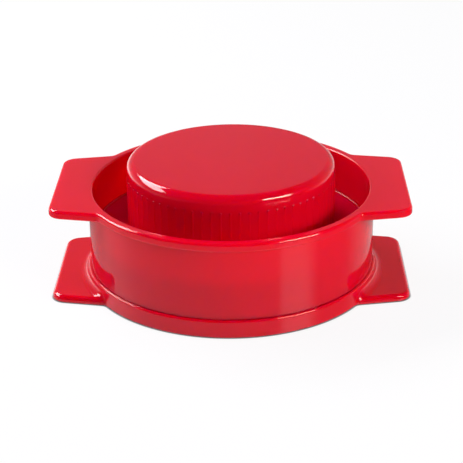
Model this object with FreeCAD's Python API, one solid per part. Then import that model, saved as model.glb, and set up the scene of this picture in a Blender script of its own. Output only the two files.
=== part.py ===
import FreeCAD, Part
import math
import os

# Hand burger press in millimetres: a base tray, a mould ring that lifts off it, and a plunger
# made of a ribbed shell and a press plate. +Z is up, the axis of the round pieces is Z, the
# handles point along +X and -X, and the tray stands on the plane Z = 0.

# Fits between the pieces
seat_gap = 0.1
foot_clearance = 0.3
shoulder_gap = 0.1
plunger_clearance = 0.4
plate_fit = 0.1

# Handles, on the tray and on the ring alike
handle_taper_angle = 10.0
handle_corner_radius = 6.5
under_edge_round = 0.6

# Mould ring
mould_diameter = 120.0
ring_height = 39.6
ring_foot_wall = 1.4
ring_shoulder_width = 0.6
ring_foot_round = 0.3
ring_shoulder_round = 0.1
ring_mouth_round = 0.8
lip_overhang = 2.1
lip_fillet = 0.9
ring_handle_length = 12.1
ring_handle_thickness = 3.55
ring_handle_tip_width = 60.2
ring_handle_fillet = 3.5
ring_edge_round = 1.1

# Base tray
tray_floor = 2.6
tray_rim_wall = 1.5
tray_rim_height = 7.7
tray_rim_outer_round = 0.8
tray_rim_inner_round = 0.4
tray_handle_length = 13.5
tray_handle_thickness = 3.0
tray_handle_tip_width = 60.0
tray_handle_edge_round = 1.75
tray_handle_fillet = 3.8

# Plunger shell
shell_wall = 2.2
press_depth = 20.75
flange_width = 14.7
flange_bead_width = 1.0
flange_bead_height = 0.5
flange_bead_round = 0.4
knob_height = 30.65
knob_edge_round = 3.5
knob_root_fillet = 1.0

# Grip ribs round the knob
rib_count = 72
rib_radius = 0.8
rib_proud = 0.15
rib_top_gap = 2.8
rib_start_angle = 0.6

# Press plate that closes the shell from below
plate_thickness = 2.4
plate_edge_round = 0.8
plate_spigot_height = 3.0
plate_spigot_wall = 1.6

# Radii that follow from the sizes above, from the mould outwards and then inwards
mould_radius = mould_diameter / 2
ring_foot_radius = mould_radius + ring_foot_wall
ring_radius = ring_foot_radius + ring_shoulder_width
lip_radius = ring_radius + lip_overhang
tray_bore_radius = ring_foot_radius + foot_clearance
tray_rim_radius = tray_bore_radius + tray_rim_wall
press_radius = mould_radius - plunger_clearance
shell_bore_radius = press_radius - shell_wall
knob_radius = press_radius - flange_width
knob_bore_radius = knob_radius - shell_wall
bead_inner_radius = press_radius - flange_bead_width

# Heights that follow from the sizes above
ring_bottom = tray_floor + seat_gap
ring_shoulder = tray_rim_height + shoulder_gap
ring_top = ring_bottom + ring_height
lip_bottom = ring_top - ring_handle_thickness
press_face = tray_floor + seat_gap
plate_top = press_face + plate_thickness
flange_top = press_face + press_depth
flange_underside = flange_top - shell_wall
bead_top = flange_top + flange_bead_height
knob_top = flange_top + knob_height
knob_ceiling = knob_top - shell_wall
rib_top = knob_top - knob_edge_round - rib_top_gap

# A round takes at most this share of the wall that it is cut in
ROUND_SHARE = 0.6
# A fillet that rolls over a handle's edge is at most this many times that edge's own round
ROLL_LIMIT = 2.2
# How far a cutting shape runs past what it cuts
CUT_MARGIN = 1.0
TOLERANCE = 1e-4
UP = FreeCAD.Vector(0, 0, 1)
ORIGIN = FreeCAD.Vector(0, 0, 0)


def cylinder(radius, bottom, top):
    """A solid disc or post on the axis between two heights, with its seam away from the handles."""
    post = Part.makeCylinder(radius, top - bottom, FreeCAD.Vector(0, 0, bottom))
    post.rotate(ORIGIN, UP, 90)
    return post


def rounded_wire(corners, place):
    """A closed outline of straight runs with rounded corners, given as (a, b, radius)."""
    points = [FreeCAD.Vector(a, b, 0) for a, b, _ in corners]
    arcs = []
    for index, (_, _, radius) in enumerate(corners):
        corner = points[index]
        to_last = (points[index - 1] - corner).normalize()
        to_next = (points[(index + 1) % len(points)] - corner).normalize()
        half_angle = to_last.getAngle(to_next) / 2
        setback = radius / math.tan(half_angle)
        inward = (to_last + to_next).normalize()
        middle = corner + inward * (radius / math.sin(half_angle) - radius)
        arcs.append((corner + to_last * setback, middle, corner + to_next * setback))
    edges = []
    for index, (start, middle, end) in enumerate(arcs):
        last_end = arcs[index - 1][2]
        if last_end.distanceToPoint(start) > TOLERANCE:
            edges.append(Part.LineSegment(place(last_end), place(start)).toShape())
        if start.distanceToPoint(end) > TOLERANCE:
            edges.append(Part.Arc(place(start), place(middle), place(end)).toShape())
    return Part.Wire(edges)


def in_plan(point):
    """Put an outline point on the horizontal plane."""
    return FreeCAD.Vector(point.x, point.y, 0)


def in_section(point):
    """Put an outline point on the half plane through the axis, as radius and height."""
    return FreeCAD.Vector(point.x, 0, point.y)


def turned(corners):
    """A solid of revolution about the axis, from a section given as (radius, height, round)."""
    return Part.Face(rounded_wire(corners, in_section)).revolve(ORIGIN, UP, 360)


def edge_points(edge):
    """Points spread along an edge, its ends included."""
    first, last = edge.ParameterRange
    return [edge.valueAt(first + (last - first) * step / 4) for step in range(5)]


def edges_at(shape, height=None, radius=None):
    """The edges of a shape that lie at a height, on a radius about the axis, or both."""
    found = []
    for edge in shape.Edges:
        points = edge_points(edge)
        at_height = height is None or all(abs(p.z - height) < TOLERANCE for p in points)
        at_radius = radius is None or all(abs(math.hypot(p.x, p.y) - radius) < TOLERANCE for p in points)
        if at_height and at_radius:
            found.append(edge)
    return found


def outline_at(shape, height):
    """The outer outline of a shape's flat face at a height."""
    faces = [face for face in shape.Faces if abs(face.BoundBox.ZMax - height) < TOLERANCE
             and abs(face.BoundBox.ZMin - height) < TOLERANCE]
    return max(faces, key=lambda face: face.BoundBox.DiagonalLength).OuterWire.Edges


def round_edges(shape, radius, wall, edges):
    """Round edges of a wall, with the radius limited by that wall."""
    return shape.makeFillet(min(radius, ROUND_SHARE * wall), edges)


def handle_pair(root_radius, length, tip_width, thickness, bottom):
    """Flat tapered handles on both sides, square-edged, that start inside a round piece."""
    reach = root_radius + length
    inner_end = root_radius / 2
    inner_half_width = tip_width / 2 + (reach - inner_end) * math.tan(math.radians(handle_taper_angle))
    corners = [
        (inner_end, -inner_half_width, 0),
        (reach, -tip_width / 2, handle_corner_radius),
        (reach, tip_width / 2, handle_corner_radius),
        (inner_end, inner_half_width, 0),
    ]
    plate = Part.Face(rounded_wire(corners, in_plan)).extrude(UP * thickness)
    plate.translate(UP * bottom)
    other = plate.copy()
    other.rotate(ORIGIN, UP, 180)
    return [plate, other]


def make_tray_bowl():
    """The tray without its handles: a flat round floor inside a low rim."""
    bowl = cylinder(tray_rim_radius, 0, tray_rim_height)
    bowl = bowl.cut(cylinder(tray_bore_radius, tray_floor, tray_rim_height + CUT_MARGIN))
    outer_edge = edges_at(bowl, tray_rim_height, tray_rim_radius)
    bowl = round_edges(bowl, tray_rim_outer_round, tray_rim_wall, outer_edge)
    inner_edge = edges_at(bowl, tray_rim_height, tray_bore_radius)
    return round_edges(bowl, tray_rim_inner_round, tray_rim_wall / 2, inner_edge)


def make_base_tray():
    """Round tray with a low rim and flat handles level with its underside."""
    inside = cylinder(tray_rim_radius - tray_rim_wall / 2, -CUT_MARGIN, tray_rim_height)
    edge_round = min(tray_handle_edge_round, ROUND_SHARE * tray_handle_thickness)
    handles = []
    for plate in handle_pair(
            tray_rim_radius, tray_handle_length, tray_handle_tip_width, tray_handle_thickness, 0):
        plate = plate.makeFillet(edge_round, outline_at(plate, tray_handle_thickness))
        handles.append(plate.cut(inside))
    body = make_tray_bowl().fuse(handles).removeSplitter()
    roots = [edge for edge in edges_at(body, radius=tray_rim_radius)
             if TOLERANCE < edge.BoundBox.ZMax < tray_handle_thickness + TOLERANCE]
    wall_left = tray_rim_height - tray_rim_outer_round - tray_handle_thickness
    body = body.makeFillet(min(tray_handle_fillet, ROLL_LIMIT * edge_round, wall_left), roots)
    return round_edges(body, under_edge_round, tray_handle_thickness / 2, outline_at(body, 0))


def make_lip_plate():
    """The ring's lip and its handles: one flat plate with rounded edges all round."""
    plate = cylinder(lip_radius, lip_bottom, ring_top)
    plate = plate.fuse(handle_pair(
        lip_radius, ring_handle_length, ring_handle_tip_width, ring_handle_thickness, lip_bottom))
    plate = plate.removeSplitter()
    roots = [edge for edge in edges_at(plate, radius=lip_radius)
             if isinstance(edge.Curve, Part.Line) and abs(edge.CenterOfMass.x) > lip_radius / 2]
    plate = plate.makeFillet(ring_handle_fillet, roots)
    plate = round_edges(plate, ring_edge_round, ring_handle_thickness, outline_at(plate, ring_top))
    return round_edges(plate, under_edge_round, ring_handle_thickness / 2, outline_at(plate, lip_bottom))


def make_mould_ring():
    """Open ring with a lip, flat handles level with its mouth and a foot that fits in the tray."""
    wall = cylinder(ring_radius, ring_shoulder, lip_bottom + ring_handle_thickness / 2)
    foot = cylinder(ring_foot_radius, ring_bottom, ring_shoulder + ring_foot_wall)
    bore = cylinder(mould_radius, ring_bottom - CUT_MARGIN, ring_top + CUT_MARGIN)
    body = make_lip_plate().fuse([wall, foot]).cut(bore).removeSplitter()
    body = round_edges(body, ring_mouth_round, ring_foot_wall, edges_at(body, ring_top, mould_radius))
    lip_room = lip_overhang - under_edge_round
    body = round_edges(body, lip_fillet, lip_room, edges_at(body, lip_bottom, ring_radius))
    shoulder = edges_at(body, ring_shoulder, ring_radius)
    body = round_edges(body, ring_shoulder_round, ring_shoulder_width, shoulder)
    return round_edges(body, ring_foot_round, ring_foot_wall / 2, edges_at(body, ring_bottom))


def make_rib():
    """One grip rib: an upright half-buried bead with a round top, on the +X side of the knob."""
    centre = knob_radius + rib_proud - rib_radius
    foot = flange_top - shell_wall / 2
    stem = Part.makeCylinder(rib_radius, rib_top - rib_radius - foot, FreeCAD.Vector(centre, 0, foot))
    tip = Part.makeSphere(rib_radius, FreeCAD.Vector(centre, 0, rib_top - rib_radius))
    return stem.fuse(tip).removeSplitter()


def make_plunger_shell():
    """Hollow moulding: a wide ribbed knob on a beaded flange whose skirt slides in the mould ring."""
    bead_round = min(flange_bead_round, ROUND_SHARE * flange_bead_height, flange_bead_width / 2)
    shell = turned([
        (0, knob_ceiling, 0),
        (0, knob_top, 0),
        (knob_radius, knob_top, knob_edge_round),
        (knob_radius, flange_top, knob_root_fillet),
        (bead_inner_radius, flange_top, 0),
        (bead_inner_radius, bead_top, bead_round),
        (press_radius, bead_top, bead_round),
        (press_radius, plate_top, 0),
        (shell_bore_radius, plate_top, 0),
        (shell_bore_radius, flange_underside, 0),
        (knob_bore_radius, flange_underside, 0),
        (knob_bore_radius, knob_ceiling, max(knob_edge_round - shell_wall, 0)),
    ])
    first_rib = make_rib()
    ribs = []
    for index in range(rib_count):
        rib = first_rib.copy()
        rib.rotate(ORIGIN, UP, rib_start_angle - 90 + index * 360 / rib_count)
        ribs.append(rib)
    return shell.fuse(ribs).removeSplitter()


def make_press_plate():
    """Flat pressing disc with a spigot that snaps into the skirt and a ring under the knob wall."""
    spigot_radius = shell_bore_radius - plate_fit
    spigot_bore_radius = spigot_radius - plate_spigot_wall
    spigot_top = plate_top + plate_spigot_height
    support_top = flange_underside - plate_fit
    return turned([
        (0, press_face, 0),
        (press_radius, press_face, min(plate_edge_round, ROUND_SHARE * plate_thickness)),
        (press_radius, plate_top, 0),
        (spigot_radius, plate_top, 0),
        (spigot_radius, spigot_top, 0),
        (spigot_bore_radius, spigot_top, 0),
        (spigot_bore_radius, plate_top, 0),
        (knob_radius, plate_top, 0),
        (knob_radius, support_top, 0),
        (knob_bore_radius, support_top, 0),
        (knob_bore_radius, plate_top, 0),
        (0, plate_top, 0),
    ])


def main():
    """Build every piece and write one file for each."""
    os.makedirs("parts", exist_ok=True)
    pieces = {
        "base_tray": make_base_tray(),
        "mould_ring": make_mould_ring(),
        "plunger_shell": make_plunger_shell(),
        "press_plate": make_press_plate(),
    }
    for name, shape in pieces.items():
        print(name, "solids", len(shape.Solids), "valid", shape.isValid(), "volume", round(shape.Volume, 1))
        shape.exportStep("parts/" + name + ".step")


main()
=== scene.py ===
import math

import bmesh
import bpy
from bpy.props import FloatProperty, FloatVectorProperty, PointerProperty
from bpy.types import Operator, Panel, PropertyGroup
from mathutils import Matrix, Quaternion, Vector


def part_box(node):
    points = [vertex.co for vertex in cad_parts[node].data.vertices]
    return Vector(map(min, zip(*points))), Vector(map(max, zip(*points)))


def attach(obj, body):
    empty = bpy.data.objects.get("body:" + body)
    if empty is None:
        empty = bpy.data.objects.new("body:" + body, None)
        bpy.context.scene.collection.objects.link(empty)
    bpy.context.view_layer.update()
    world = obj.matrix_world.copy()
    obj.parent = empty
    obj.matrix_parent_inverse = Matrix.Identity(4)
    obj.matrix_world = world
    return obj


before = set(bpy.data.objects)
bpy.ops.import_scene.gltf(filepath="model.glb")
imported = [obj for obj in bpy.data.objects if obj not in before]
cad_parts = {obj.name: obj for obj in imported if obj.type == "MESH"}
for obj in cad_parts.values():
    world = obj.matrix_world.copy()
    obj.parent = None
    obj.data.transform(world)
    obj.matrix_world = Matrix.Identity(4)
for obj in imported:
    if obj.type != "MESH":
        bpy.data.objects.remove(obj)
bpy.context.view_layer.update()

bl_info = {
    "name": "Burger press",
    "version": (1, 0, 0),
    "blender": (4, 5, 0),
    "location": "3D View > Sidebar > Burger press",
    "description": "Finishes a hand burger press in polished red plastic and sets it in a small studio",
    "category": "Object",
}

# Light inside the plastic: the shares of the glow depth that red, green and blue reach, and the share
# that each moulding shows. The thin ring glows most.
GLOW_SPREAD = (1.0, 0.1, 0.1)
TRAY_GLOW, RING_GLOW, PLUNGER_GLOW = 0.6, 1.2, 1.1
# Where each moulding's pigment, grain and ripples start in the noise, so that no two mouldings are alike
TRAY_SEED, RING_SEED, PLUNGER_SEED, PLATE_SEED = 1.0, 2.0, 3.0, 4.0
# Patches of pigment to the metre, and how finely each noise is broken up
PIGMENT_SCALE = 35.0
PIGMENT_DETAIL, GRAIN_DETAIL, RIPPLE_DETAIL = 3.0, 4.0, 1.0
# The part of the grain's noise that takes the polish from its smoothest to its roughest
GRAIN_LOW, GRAIN_HIGH = 0.3, 0.7
# Gloss of the polished faces, as the shader's own default has it
FULL_GLOSS = 0.5

# The ring's mouth, in metres: its top, its radius inside and at the lip, a margin round the lip, and the
# rounds of its inner and outer edges
MOUTH_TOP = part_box("mould_ring")[1][2]
MOUTH_RADIUS = 0.06
LIP_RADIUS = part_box("mould_ring")[1][1]
LIP_MARGIN = 0.0001
INNER_ROUND = 0.0008
OUTER_ROUND = 0.0011

# The tray's handles, in metres: their top, the round of its edge, and how far from the axis they are
# clear of the fillet at the rim
HANDLE_TOP = 0.003
HANDLE_ROUND = 0.00175
HANDLE_START = 0.0672

# The plunger's knob, in metres: its top, its height over the flange, its radius, how far below its top the
# ribbed grip starts, and a margin for the height of the flange's face
KNOB_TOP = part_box("plunger_shell")[1][2]
KNOB_HEIGHT = 0.03065
KNOB_RADIUS = 0.0449
GRIP_DROP = 0.0037
FLANGE_MARGIN = 0.0001

# Grip ribs: their count, where the first one stands in degrees from the front, how far below the knob's
# top the middles of their tips lie in metres, and how finely a tip is rounded
RIB_COUNT = 72
RIB_START = 0.6
TIP_DROP = 0.0071
TIP_SIDES, TIP_RINGS = 20, 12

# The point that the lamps and the camera face, the lamps' distance from it and the floor's half width,
# in metres
LOOK_POINT = Vector((0.0, 0.0, 0.022))
SOFTBOX_DISTANCE = 1.0
FLOOR_HALF_WIDTH = 4.0
# Width of the camera's sensor, in millimetres
SENSOR_WIDTH = 36.0
WHITE = (1.0, 1.0, 1.0)

# Softboxes: their direction and tilt in degrees, and their width and height in metres
LEFT_SOFTBOX = {"azimuth": -115.0, "elevation": 38.5, "tilt": -15.0, "size": (1.1, 0.36)}
RIGHT_SOFTBOX = {"azimuth": 52.5, "elevation": 25.0, "tilt": -18.0, "size": (0.52, 0.24)}
FILL_SOFTBOX = {"azimuth": 0.0, "elevation": 80.0, "tilt": 0.0, "size": (0.6, 0.6)}

# Bands of grey in the surroundings, which the polished walls mirror. A band's grey is the product of
# two lists of (degrees, grey): round from the front to the right, and up from the horizon.
TABLE_BAND = {
    "around": [(-180, 0.5), (-160, 0.4), (-135, 0.41), (-112, 0.66), (-97, 0.71), (-75, 0.6),
               (-40, 0.53), (0, 0.45), (36, 0.41), (58, 0.4), (79, 0.25), (101, 0.2), (125, 0.42),
               (157, 0.58), (180, 0.5)],
    "up": [(-60, 1.4), (-36, 1.35), (-28, 1.12), (-25, 0.95), (-23.7, 0.9), (-23.0, 0.0)],
}
STRIP_BAND = {
    "around": [(36, 0.0), (45, 0.58), (58, 0.6), (76, 0.0)],
    "up": [(-60, 1.4), (-36, 1.35), (-28, 1.12), (-25, 0.95), (-24.7, 0.9), (-24.1, 0.0)],
}
BACK_BAND = {
    "around": [(-165, 0.27), (-120, 0.2), (-95, 0.02), (80, 0.02), (100, 0.06), (120, 0.24),
               (140, 0.3), (168, 0.25)],
    "up": [(-22, 0.0), (-17, 0.6), (-12, 1.0), (20, 1.0), (25, 0.85), (30, 0.6), (37, 0.32),
           (46, 0.15), (60, 0.05)],
}
GLOW_BAND = {
    "around": [(-180, 0.6), (-160, 1.3), (-140, 2.4), (-120, 1.5), (-108, 0.9), (-98, 0.5),
               (-80, 0.32), (-62, 0.1), (-40, 0.0), (85, 0.0), (105, 0.5), (130, 0.8), (160, 0.7),
               (180, 0.6)],
    "up": [(-24, 0.0), (-20, 0.2), (-16, 0.65), (-12, 1.0), (-7, 1.0), (-3, 0.75), (1, 0.4),
           (6, 0.2), (12, 0.1), (22, 0.0)],
}

# Sockets of a mix node, by the kind of value that it mixes: the share, the two values and the result
MIX_SOCKETS = {"VECTOR": (0, 4, 5, 1), "RGBA": (0, 6, 7, 2)}
# The least length that a direction is divided by
LEAST_LENGTH = 0.001


class PlasticFinish(PropertyGroup):
    """The polished plastic that every piece is moulded in."""

    colour: FloatVectorProperty(
        name="Colour", description="Colour of the plastic", subtype="COLOR",
        size=3, min=0.0, max=1.0, default=(0.71, 0.0012, 0.022))
    deep_colour: FloatVectorProperty(
        name="Deep colour", description="Colour where the pigment lies a little denser", subtype="COLOR",
        size=3, min=0.0, max=1.0, default=(0.66, 0.0008, 0.019))
    smoothest: FloatProperty(
        name="Smoothest", description="Roughness of the best polished spots", subtype="FACTOR",
        min=0.0, max=1.0, default=0.045)
    roughest: FloatProperty(
        name="Roughest", description="Roughness of the least polished spots", subtype="FACTOR",
        min=0.0, max=1.0, default=0.085)
    refraction: FloatProperty(
        name="Refraction", description="Index of refraction, which sets the gloss",
        min=1.0, max=2.0, default=1.5)
    glow_depth: FloatProperty(
        name="Glow depth", description="How far red light spreads inside the plastic", unit="LENGTH",
        min=0.0, max=0.05, default=0.005)
    dull_gloss: FloatProperty(
        name="Dull gloss", description="Gloss left on the plunger's flange", subtype="FACTOR",
        min=0.0, max=1.0, default=0.0)
    grip_roughness: FloatProperty(
        name="Grip roughness", description="Roughness of the plunger's ribbed grip", subtype="FACTOR",
        min=0.0, max=1.0, default=0.13)
    ripple_size: FloatProperty(
        name="Ripple size", description="Width of the faint ripples left by moulding", unit="LENGTH",
        min=0.001, max=0.1, default=0.012)
    ripple_depth: FloatProperty(
        name="Ripple depth", description="Height of the faint ripples left by moulding", unit="LENGTH",
        min=0.0, max=0.001, default=0.00001)
    grain_size: FloatProperty(
        name="Grain size", description="Width of the fine texture of the polish", unit="LENGTH",
        min=0.0001, max=0.01, default=0.0008)


class RibTipSizes(PropertyGroup):
    """The round tips of the knob's grip ribs."""

    radius: FloatProperty(
        name="Tip radius", description="Radius of a rib's round tip", unit="LENGTH",
        min=0.0001, max=0.01, default=0.0008)
    proud: FloatProperty(
        name="Tip proud", description="How far a tip stands out of the knob's wall", unit="LENGTH",
        min=0.0, max=0.01, default=0.00026)


class StudioSettings(PropertyGroup):
    """The floor, the lamps and the camera."""

    floor_colour: FloatVectorProperty(
        name="Floor colour", description="Colour of the floor", subtype="COLOR",
        size=3, min=0.0, max=1.0, default=(0.86, 0.86, 0.86))
    floor_white: FloatProperty(
        name="Floor white", description="Share of plain white in the floor as the camera sees it",
        subtype="FACTOR", min=0.0, max=1.0, default=0.9)
    # Painted contact shade on the floor: the white that the camera sees is darkened near the object by
    # ambient occlusion, not by a lamp's shadow.
    painted_shade_reach: FloatProperty(
        name="Contact reach", description="How far the dark line of contact spreads on the floor",
        unit="LENGTH", min=0.0, max=0.1, default=0.0009)
    painted_shade_depth: FloatProperty(
        name="Contact depth", description="How dark the line of contact is",
        min=0.0, max=10.0, default=3.0)
    sky_level: FloatProperty(
        name="Sky level", description="Brightness of the studio's surroundings",
        min=0.0, max=5.0, default=1.0)
    left_power: FloatProperty(
        name="Left power", description="Power of the wide softbox behind on the left", unit="POWER",
        min=0.0, max=100.0, default=13.6)
    left_colour: FloatVectorProperty(
        name="Left colour", description="Colour of the wide softbox on the left", subtype="COLOR",
        size=3, min=0.0, max=1.0, default=(0.97, 0.98, 1.0))
    right_power: FloatProperty(
        name="Right power", description="Power of the small softbox in front on the right", unit="POWER",
        min=0.0, max=100.0, default=8.4)
    right_colour: FloatVectorProperty(
        name="Right colour", description="Colour of the small softbox on the right", subtype="COLOR",
        size=3, min=0.0, max=1.0, default=(1.0, 0.95, 0.75))
    fill_power: FloatProperty(
        name="Fill power", description="Power of the weak fill lamp overhead", unit="POWER",
        min=0.0, max=100.0, default=3.0)
    fill_colour: FloatVectorProperty(
        name="Fill colour", description="Colour of the weak fill lamp", subtype="COLOR",
        size=3, min=0.0, max=1.0, default=(0.4, 0.3, 1.0))
    camera_azimuth: FloatProperty(
        name="Camera azimuth", description="Direction of the camera round the object", subtype="ANGLE",
        default=math.radians(1.15))
    camera_elevation: FloatProperty(
        name="Camera elevation", description="Height of the camera above the horizon", subtype="ANGLE",
        default=math.radians(24.0))
    camera_distance: FloatProperty(
        name="Camera distance", description="Distance from the camera to the middle of the object",
        unit="LENGTH", min=0.1, max=10.0, default=0.625)
    camera_drop: FloatProperty(
        name="Camera drop", description="How far below the middle of the object the camera points",
        unit="LENGTH", default=0.00264)
    camera_roll: FloatProperty(
        name="Camera roll", description="Turn of the camera about its own line of sight",
        subtype="ANGLE", default=math.radians(-0.7))
    focal_length: FloatProperty(
        name="Focal length", description="Focal length of the lens", subtype="DISTANCE_CAMERA",
        min=10.0, max=500.0, default=110.4)


class NodeSheet:
    """A short way to add and join nodes in one node tree."""

    def __init__(self, tree):
        self.tree = tree
        tree.nodes.clear()

    def add(self, kind, settings=None, **inputs):
        """Add a node, set its own settings, and set or join its inputs by name."""
        node = self.tree.nodes.new(kind)
        for name, value in (settings or {}).items():
            setattr(node, name, value)
        for name, value in inputs.items():
            self.feed(node, name.replace("_", " "), value)
        return node

    def feed(self, node, socket_key, value):
        """Set one input of a node, by its name or number, or join an output to it."""
        socket = node.inputs[socket_key]
        if isinstance(value, bpy.types.NodeSocket):
            self.tree.links.new(value, socket)
        else:
            socket.default_value = value

    def maths(self, operation, *values):
        """The result of a maths node."""
        node = self.add("ShaderNodeMath", {"operation": operation})
        for number, value in enumerate(values):
            self.feed(node, number, value)
        return node.outputs[0]

    def mix(self, kind, share, first, second):
        """The first value where the share is 0, the second where it is 1, and a blend between."""
        node = self.add("ShaderNodeMix", {"data_type": kind})
        *numbers, result = MIX_SOCKETS[kind]
        for number, value in zip(numbers, (share, first, second)):
            self.feed(node, number, value)
        return node.outputs[result]

    def noise(self, place, seed, scale, detail):
        """Cloudy noise from 0 to 1 that differs with the seed."""
        node = self.add(
            "ShaderNodeTexNoise", {"noise_dimensions": "4D"},
            Vector=place, W=seed, Scale=scale, Detail=detail)
        return node.outputs[0]

    def split(self, vector):
        """The three parts of a vector."""
        return self.add("ShaderNodeSeparateXYZ", Vector=vector).outputs

    def length(self, across, along):
        """The length of a flat vector."""
        square = self.maths("MULTIPLY", along, along)
        return self.maths("SQRT", self.maths("MULTIPLY_ADD", across, across, square))


def opaque(colour):
    """A colour with full alpha, as node sockets take it."""
    return (*colour, 1.0)


def compass(azimuth, elevation):
    """A direction from two angles: round from the front to the right, and up from the horizon."""
    flat = math.cos(elevation)
    return Vector((math.sin(azimuth) * flat, -math.cos(azimuth) * flat, math.sin(elevation)))


def new_material(name):
    """An empty material and the sheet for its nodes."""
    material = bpy.data.materials.new(name)
    material.use_nodes = True
    return material, NodeSheet(material.node_tree)


def add_object(name, data):
    """A new object in the scene."""
    body = bpy.data.objects.new(name, data)
    bpy.context.scene.collection.objects.link(body)
    return body


def rounded_edge(sheet, side, depth, edge_round):
    """How far a rounded top edge has turned up at a depth below its top, and the way that it faces."""
    across, along, _ = sheet.split(side)
    rise = sheet.maths("SUBTRACT", 1.0, sheet.maths("DIVIDE", depth, edge_round))
    rise = sheet.maths("MINIMUM", sheet.maths("MAXIMUM", rise, 0.0), 1.0)
    flat = sheet.maths("SQRT", sheet.maths("SUBTRACT", 1.0, sheet.maths("MULTIPLY", rise, rise)))
    share = sheet.maths("DIVIDE", flat, sheet.maths("MAXIMUM", sheet.length(across, along), LEAST_LENGTH))
    facing = sheet.add(
        "ShaderNodeCombineXYZ", X=sheet.maths("MULTIPLY", across, share),
        Y=sheet.maths("MULTIPLY", along, share), Z=rise)
    return rise, facing.outputs[0]


def mouth_normal(sheet, place):
    """The way that the ring faces, with its mouth's rounded edges worked out from their height."""
    x, y, z = sheet.split(place)
    facing = sheet.add("ShaderNodeNewGeometry").outputs["Normal"]
    radius = sheet.length(x, y)
    outer = sheet.maths("GREATER_THAN", radius, MOUTH_RADIUS + INNER_ROUND)
    sign = sheet.maths("MULTIPLY_ADD", outer, 2.0, -1.0)
    radial = sheet.add(
        "ShaderNodeCombineXYZ", X=sheet.maths("MULTIPLY", x, sign), Y=sheet.maths("MULTIPLY", y, sign))
    on_lip = sheet.maths("LESS_THAN", radius, LIP_RADIUS + LIP_MARGIN)
    side = sheet.mix("VECTOR", on_lip, facing, radial.outputs[0])
    depth = sheet.maths("SUBTRACT", MOUTH_TOP, z)
    edge_round = sheet.maths("MULTIPLY_ADD", outer, OUTER_ROUND - INNER_ROUND, INNER_ROUND)
    rise, rounded = rounded_edge(sheet, side, depth, edge_round)
    return sheet.mix("VECTOR", sheet.maths("GREATER_THAN", rise, 0.0), facing, rounded)


def handle_normal(sheet, place):
    """The way that the tray faces, with its handles' rounded edges worked out from their height."""
    x, y, z = sheet.split(place)
    facing = sheet.add("ShaderNodeNewGeometry").outputs["Normal"]
    depth = sheet.maths("SUBTRACT", HANDLE_TOP, z)
    rise, rounded = rounded_edge(sheet, facing, depth, HANDLE_ROUND)
    clear = sheet.maths("GREATER_THAN", sheet.length(x, y), HANDLE_START)
    on_edge = sheet.maths("MULTIPLY", clear, sheet.maths("GREATER_THAN", rise, 0.0))
    return sheet.mix("VECTOR", on_edge, facing, rounded)


def finish_grip(sheet, place, finish, polish, shader):
    """Take the gloss off the plunger's flange, and polish its ribbed grip less than its top."""
    height = sheet.split(place)["Z"]
    grip = sheet.maths("LESS_THAN", height, KNOB_TOP - GRIP_DROP)
    satin = sheet.maths("MULTIPLY", grip, finish.grip_roughness)
    sheet.feed(shader, "Roughness", sheet.maths("MAXIMUM", polish, satin))
    dull = sheet.maths("COMPARE", height, KNOB_TOP - KNOB_HEIGHT, FLANGE_MARGIN)
    gloss = sheet.maths("MULTIPLY_ADD", dull, finish.dull_gloss - FULL_GLOSS, FULL_GLOSS)
    sheet.feed(shader, "Specular IOR Level", gloss)


def make_plastic(name, seed, glow_share, edge_normal=None, grip=False):
    """Polished moulded plastic: uneven pigment, a fine grain in the polish, faint ripples and a glow."""
    finish = bpy.context.scene.press_plastic
    material, sheet = new_material(name)
    place = sheet.add("ShaderNodeTexCoord").outputs["Object"]
    patches = sheet.noise(place, seed, PIGMENT_SCALE, PIGMENT_DETAIL)
    colour = sheet.mix("RGBA", patches, opaque(finish.colour), opaque(finish.deep_colour))
    grain = sheet.noise(place, seed, 1.0 / finish.grain_size, GRAIN_DETAIL)
    polish = sheet.add(
        "ShaderNodeMapRange", Value=grain, From_Min=GRAIN_LOW, From_Max=GRAIN_HIGH,
        To_Min=finish.smoothest, To_Max=finish.roughest).outputs[0]
    ripples = sheet.noise(place, seed, 1.0 / finish.ripple_size, RIPPLE_DETAIL)
    bump = sheet.add("ShaderNodeBump", Strength=1.0, Distance=finish.ripple_depth, Height=ripples)
    if edge_normal:
        sheet.feed(bump, "Normal", edge_normal(sheet, place))
    shader = sheet.add(
        "ShaderNodeBsdfPrincipled", Base_Color=colour, Roughness=polish, IOR=finish.refraction,
        Normal=bump.outputs[0], Subsurface_Weight=1.0,
        Subsurface_Scale=finish.glow_depth * glow_share, Subsurface_Radius=GLOW_SPREAD)
    if grip:
        finish_grip(sheet, place, finish, polish, shader)
    sheet.add("ShaderNodeOutputMaterial", Surface=shader.outputs[0])
    return material


def dress(node, seed, glow_share, **areas):
    """Give one CAD node its plastic."""
    material = make_plastic(node + "_polished", seed, glow_share, **areas)
    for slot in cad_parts[node].material_slots:
        slot.material = material


def make_rib_tips():
    """Small round beads that end the grip ribs, mostly sunk in the knob's wall."""
    sizes = bpy.context.scene.press_tips
    bead = bmesh.new()
    bmesh.ops.create_uvsphere(bead, u_segments=TIP_SIDES, v_segments=TIP_RINGS, radius=sizes.radius)
    bead.verts.index_update()
    bead_points = [vert.co.copy() for vert in bead.verts]
    bead_faces = [[vert.index for vert in face.verts] for face in bead.faces]
    bead.free()
    reach = KNOB_RADIUS + sizes.proud - sizes.radius
    lift = Vector((0.0, 0.0, KNOB_TOP - TIP_DROP))
    points, faces = [], []
    for index in range(RIB_COUNT):
        turn = math.radians(RIB_START + index * 360.0 / RIB_COUNT)
        place = compass(turn, 0.0) * reach + lift
        faces += [[len(points) + corner for corner in face] for face in bead_faces]
        points += [place + point for point in bead_points]
    mesh = bpy.data.meshes.new("rib_tips")
    mesh.from_pydata(points, [], faces)
    mesh.shade_smooth()
    mesh.materials.append(make_plastic("rib_tips_polished", PLUNGER_SEED, PLUNGER_GLOW))
    tips = add_object("rib_tips", mesh)
    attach(tips, "plunger")


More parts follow.
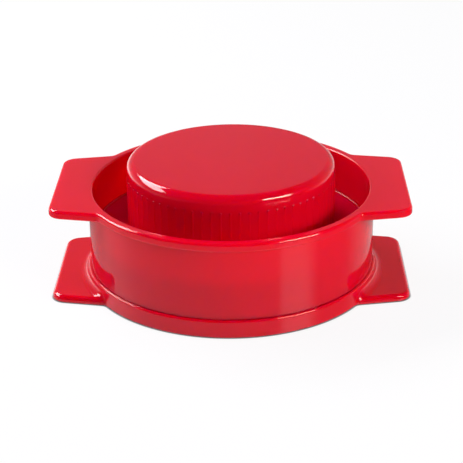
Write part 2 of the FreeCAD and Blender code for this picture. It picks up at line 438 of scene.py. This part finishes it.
def make_floor(studio):
    """A pale floor that keeps the shadow, looks white to the camera, and has a painted contact shade round
    the object's foot.
    """
    half = FLOOR_HALF_WIDTH
    corners = [(-half, -half, 0.0), (half, -half, 0.0), (half, half, 0.0), (-half, half, 0.0)]
    mesh = bpy.data.meshes.new("studio_floor")
    mesh.from_pydata(corners, [], [(0, 1, 2, 3)])
    material, sheet = new_material("studio_paper")
    paper = sheet.add("ShaderNodeBsdfDiffuse", Color=opaque(studio.floor_colour))
    # Painted contact shade: the white that the camera sees dims where ambient occlusion finds the object
    # close by.
    open_share = sheet.add("ShaderNodeAmbientOcclusion", Distance=studio.painted_shade_reach).outputs["AO"]
    level = sheet.maths("POWER", open_share, studio.painted_shade_depth)
    white = sheet.add("ShaderNodeEmission", Color=opaque(WHITE), Strength=level)
    path = sheet.add("ShaderNodeLightPath").outputs
    seen = sheet.maths("MAXIMUM", path["Is Camera Ray"], path["Is Glossy Ray"])
    seen = sheet.maths("MAXIMUM", seen, path["Is Transmission Ray"])
    share = sheet.maths("MULTIPLY", seen, studio.floor_white)
    mixed = sheet.add("ShaderNodeMixShader")
    for number, value in enumerate((share, paper.outputs[0], white.outputs[0])):
        sheet.feed(mixed, number, value)
    sheet.add("ShaderNodeOutputMaterial", Surface=mixed.outputs[0])
    mesh.materials.append(material)
    floor = add_object("studio_floor", mesh)
    # The polished walls mirror the studio round them, not the floor.
    floor.visible_glossy = False


def grey_ramp(sheet, place, stops):
    """Grey levels along a line from 0 to 1, joined smoothly."""
    node = sheet.add("ShaderNodeValToRGB", Fac=place)
    ramp = node.color_ramp
    ramp.interpolation = "EASE"
    while len(ramp.elements) < len(stops):
        ramp.elements.new(0.5)
    for element, (position, level) in zip(ramp.elements, stops):
        element.position = position
        element.color = opaque((level, level, level))
    return node.outputs[0]


def make_band(sheet, around, up, band):
    """The grey of one band of the surroundings, from places round and up that run from 0 to 1."""
    stops_around = [(0.5 + angle / 360.0, grey) for angle, grey in band["around"]]
    stops_up = [(0.5 + 0.5 * math.sin(math.radians(angle)), grey) for angle, grey in band["up"]]
    return sheet.maths("MULTIPLY", grey_ramp(sheet, around, stops_around), grey_ramp(sheet, up, stops_up))


def make_sky(studio):
    """Dim studio surroundings: a pale table with a bright strip, a band behind and a low glow."""
    world = bpy.data.worlds.new("studio_walls")
    bpy.context.scene.world = world
    world.use_nodes = True
    sheet = NodeSheet(world.node_tree)
    x, y, z = sheet.split(sheet.add("ShaderNodeTexCoord").outputs["Generated"])
    turn = sheet.maths("ARCTAN2", x, sheet.maths("MULTIPLY", y, -1.0))
    around = sheet.maths("MULTIPLY_ADD", turn, 0.5 / math.pi, 0.5)
    up = sheet.maths("MULTIPLY_ADD", z, 0.5, 0.5)
    level = make_band(sheet, around, up, TABLE_BAND)
    for band in (STRIP_BAND, BACK_BAND, GLOW_BAND):
        level = sheet.maths("ADD", level, make_band(sheet, around, up, band))
    strength = sheet.maths("MULTIPLY", level, studio.sky_level)
    sky = sheet.add("ShaderNodeBackground", Color=opaque(WHITE), Strength=strength)
    sheet.add("ShaderNodeOutputWorld", Surface=sky.outputs[0])


def aim(body, back, roll):
    """Turn a lamp or camera so that its back points along a direction, and roll it about that line."""
    body.rotation_mode = "QUATERNION"
    body.rotation_quaternion = back.to_track_quat("Z", "Y") @ Quaternion((0.0, 0.0, 1.0), roll)


def softbox(name, box, power, colour):
    """A rectangular soft lamp that shines on the object, placed by one of the softbox settings."""
    lamp = bpy.data.lights.new(name, "AREA")
    lamp.shape = "RECTANGLE"
    lamp.size, lamp.size_y = box["size"]
    lamp.energy = power
    lamp.color = colour
    body = add_object(name, lamp)
    away = compass(math.radians(box["azimuth"]), math.radians(box["elevation"]))
    body.location = LOOK_POINT + away * SOFTBOX_DISTANCE
    aim(body, away, math.radians(box["tilt"]))
    return body


def make_camera(studio):
    """A long-lens camera at the photograph's angle."""
    lens = bpy.data.cameras.new("studio_camera")
    lens.sensor_width = SENSOR_WIDTH
    lens.lens = studio.focal_length
    camera = add_object("studio_camera", lens)
    away = compass(studio.camera_azimuth, studio.camera_elevation)
    camera.location = LOOK_POINT + away * studio.camera_distance
    up = away.to_track_quat("Z", "Y") @ Vector((0.0, 1.0, 0.0))
    target = LOOK_POINT - up * studio.camera_drop
    aim(camera, camera.location - target, studio.camera_roll)
    bpy.context.scene.camera = camera


class PRESS_OT_tray(Operator):
    """Finish the base tray"""

    bl_idname = "press.tray"
    bl_label = "Base tray"

    def execute(self, context):
        dress("base_tray", TRAY_SEED, TRAY_GLOW, edge_normal=handle_normal)
        return {"FINISHED"}


class PRESS_OT_ring(Operator):
    """Finish the mould ring"""

    bl_idname = "press.ring"
    bl_label = "Mould ring"

    def execute(self, context):
        dress("mould_ring", RING_SEED, RING_GLOW, edge_normal=mouth_normal)
        return {"FINISHED"}


class PRESS_OT_plunger(Operator):
    """Finish the plunger's shell and its press plate"""

    bl_idname = "press.plunger"
    bl_label = "Plunger"

    def execute(self, context):
        dress("plunger_shell", PLUNGER_SEED, PLUNGER_GLOW, grip=True)
        dress("press_plate", PLATE_SEED, PLUNGER_GLOW)
        return {"FINISHED"}


class PRESS_OT_rib_tips(Operator):
    """Round off the tops of the knob's grip ribs"""

    bl_idname = "press.rib_tips"
    bl_label = "Rib tips"

    def execute(self, context):
        make_rib_tips()
        return {"FINISHED"}


class PRESS_OT_stage(Operator):
    """Set up the floor, the surroundings, the lamps and the camera"""

    bl_idname = "press.stage"
    bl_label = "Stage"

    def execute(self, context):
        studio = context.scene.press_studio
        context.scene.view_settings.view_transform = "Standard"
        make_floor(studio)
        make_sky(studio)
        softbox("left_softbox", LEFT_SOFTBOX, studio.left_power, studio.left_colour)
        softbox("right_softbox", RIGHT_SOFTBOX, studio.right_power, studio.right_colour)
        fill = softbox("fill_softbox", FILL_SOFTBOX, studio.fill_power, studio.fill_colour)
        # The fill lifts the shade without a highlight of its own.
        fill.visible_glossy = False
        make_camera(studio)
        return {"FINISHED"}


class PRESS_PT_panel(Panel):
    """Sizes, colours and steps of the burger press"""

    bl_idname = "PRESS_PT_panel"
    bl_label = "Burger press"
    bl_space_type = "VIEW_3D"
    bl_region_type = "UI"
    bl_category = "Burger press"

    def draw(self, context):
        scene = context.scene
        for group in (scene.press_plastic, scene.press_tips, scene.press_studio):
            column = self.layout.column()
            for name in group.__annotations__:
                column.prop(group, name)
        for step in STEPS:
            self.layout.operator(step.bl_idname)


STEPS = (PRESS_OT_tray, PRESS_OT_ring, PRESS_OT_plunger, PRESS_OT_rib_tips, PRESS_OT_stage)
CLASSES = (PlasticFinish, RibTipSizes, StudioSettings, *STEPS, PRESS_PT_panel)


def register():
    """Add the classes and their settings."""
    for cls in CLASSES:
        bpy.utils.register_class(cls)
    bpy.types.Scene.press_plastic = PointerProperty(type=PlasticFinish)
    bpy.types.Scene.press_tips = PointerProperty(type=RibTipSizes)
    bpy.types.Scene.press_studio = PointerProperty(type=StudioSettings)


def unregister():
    """Take the classes and their settings away."""
    del bpy.types.Scene.press_studio
    del bpy.types.Scene.press_tips
    del bpy.types.Scene.press_plastic
    for cls in reversed(CLASSES):
        bpy.utils.unregister_class(cls)


def main():
    """Build everything in order."""
    register()
    bpy.ops.press.tray()
    bpy.ops.press.ring()
    bpy.ops.press.plunger()
    bpy.ops.press.rib_tips()
    bpy.ops.press.stage()


if __name__ == "__main__":
    main()
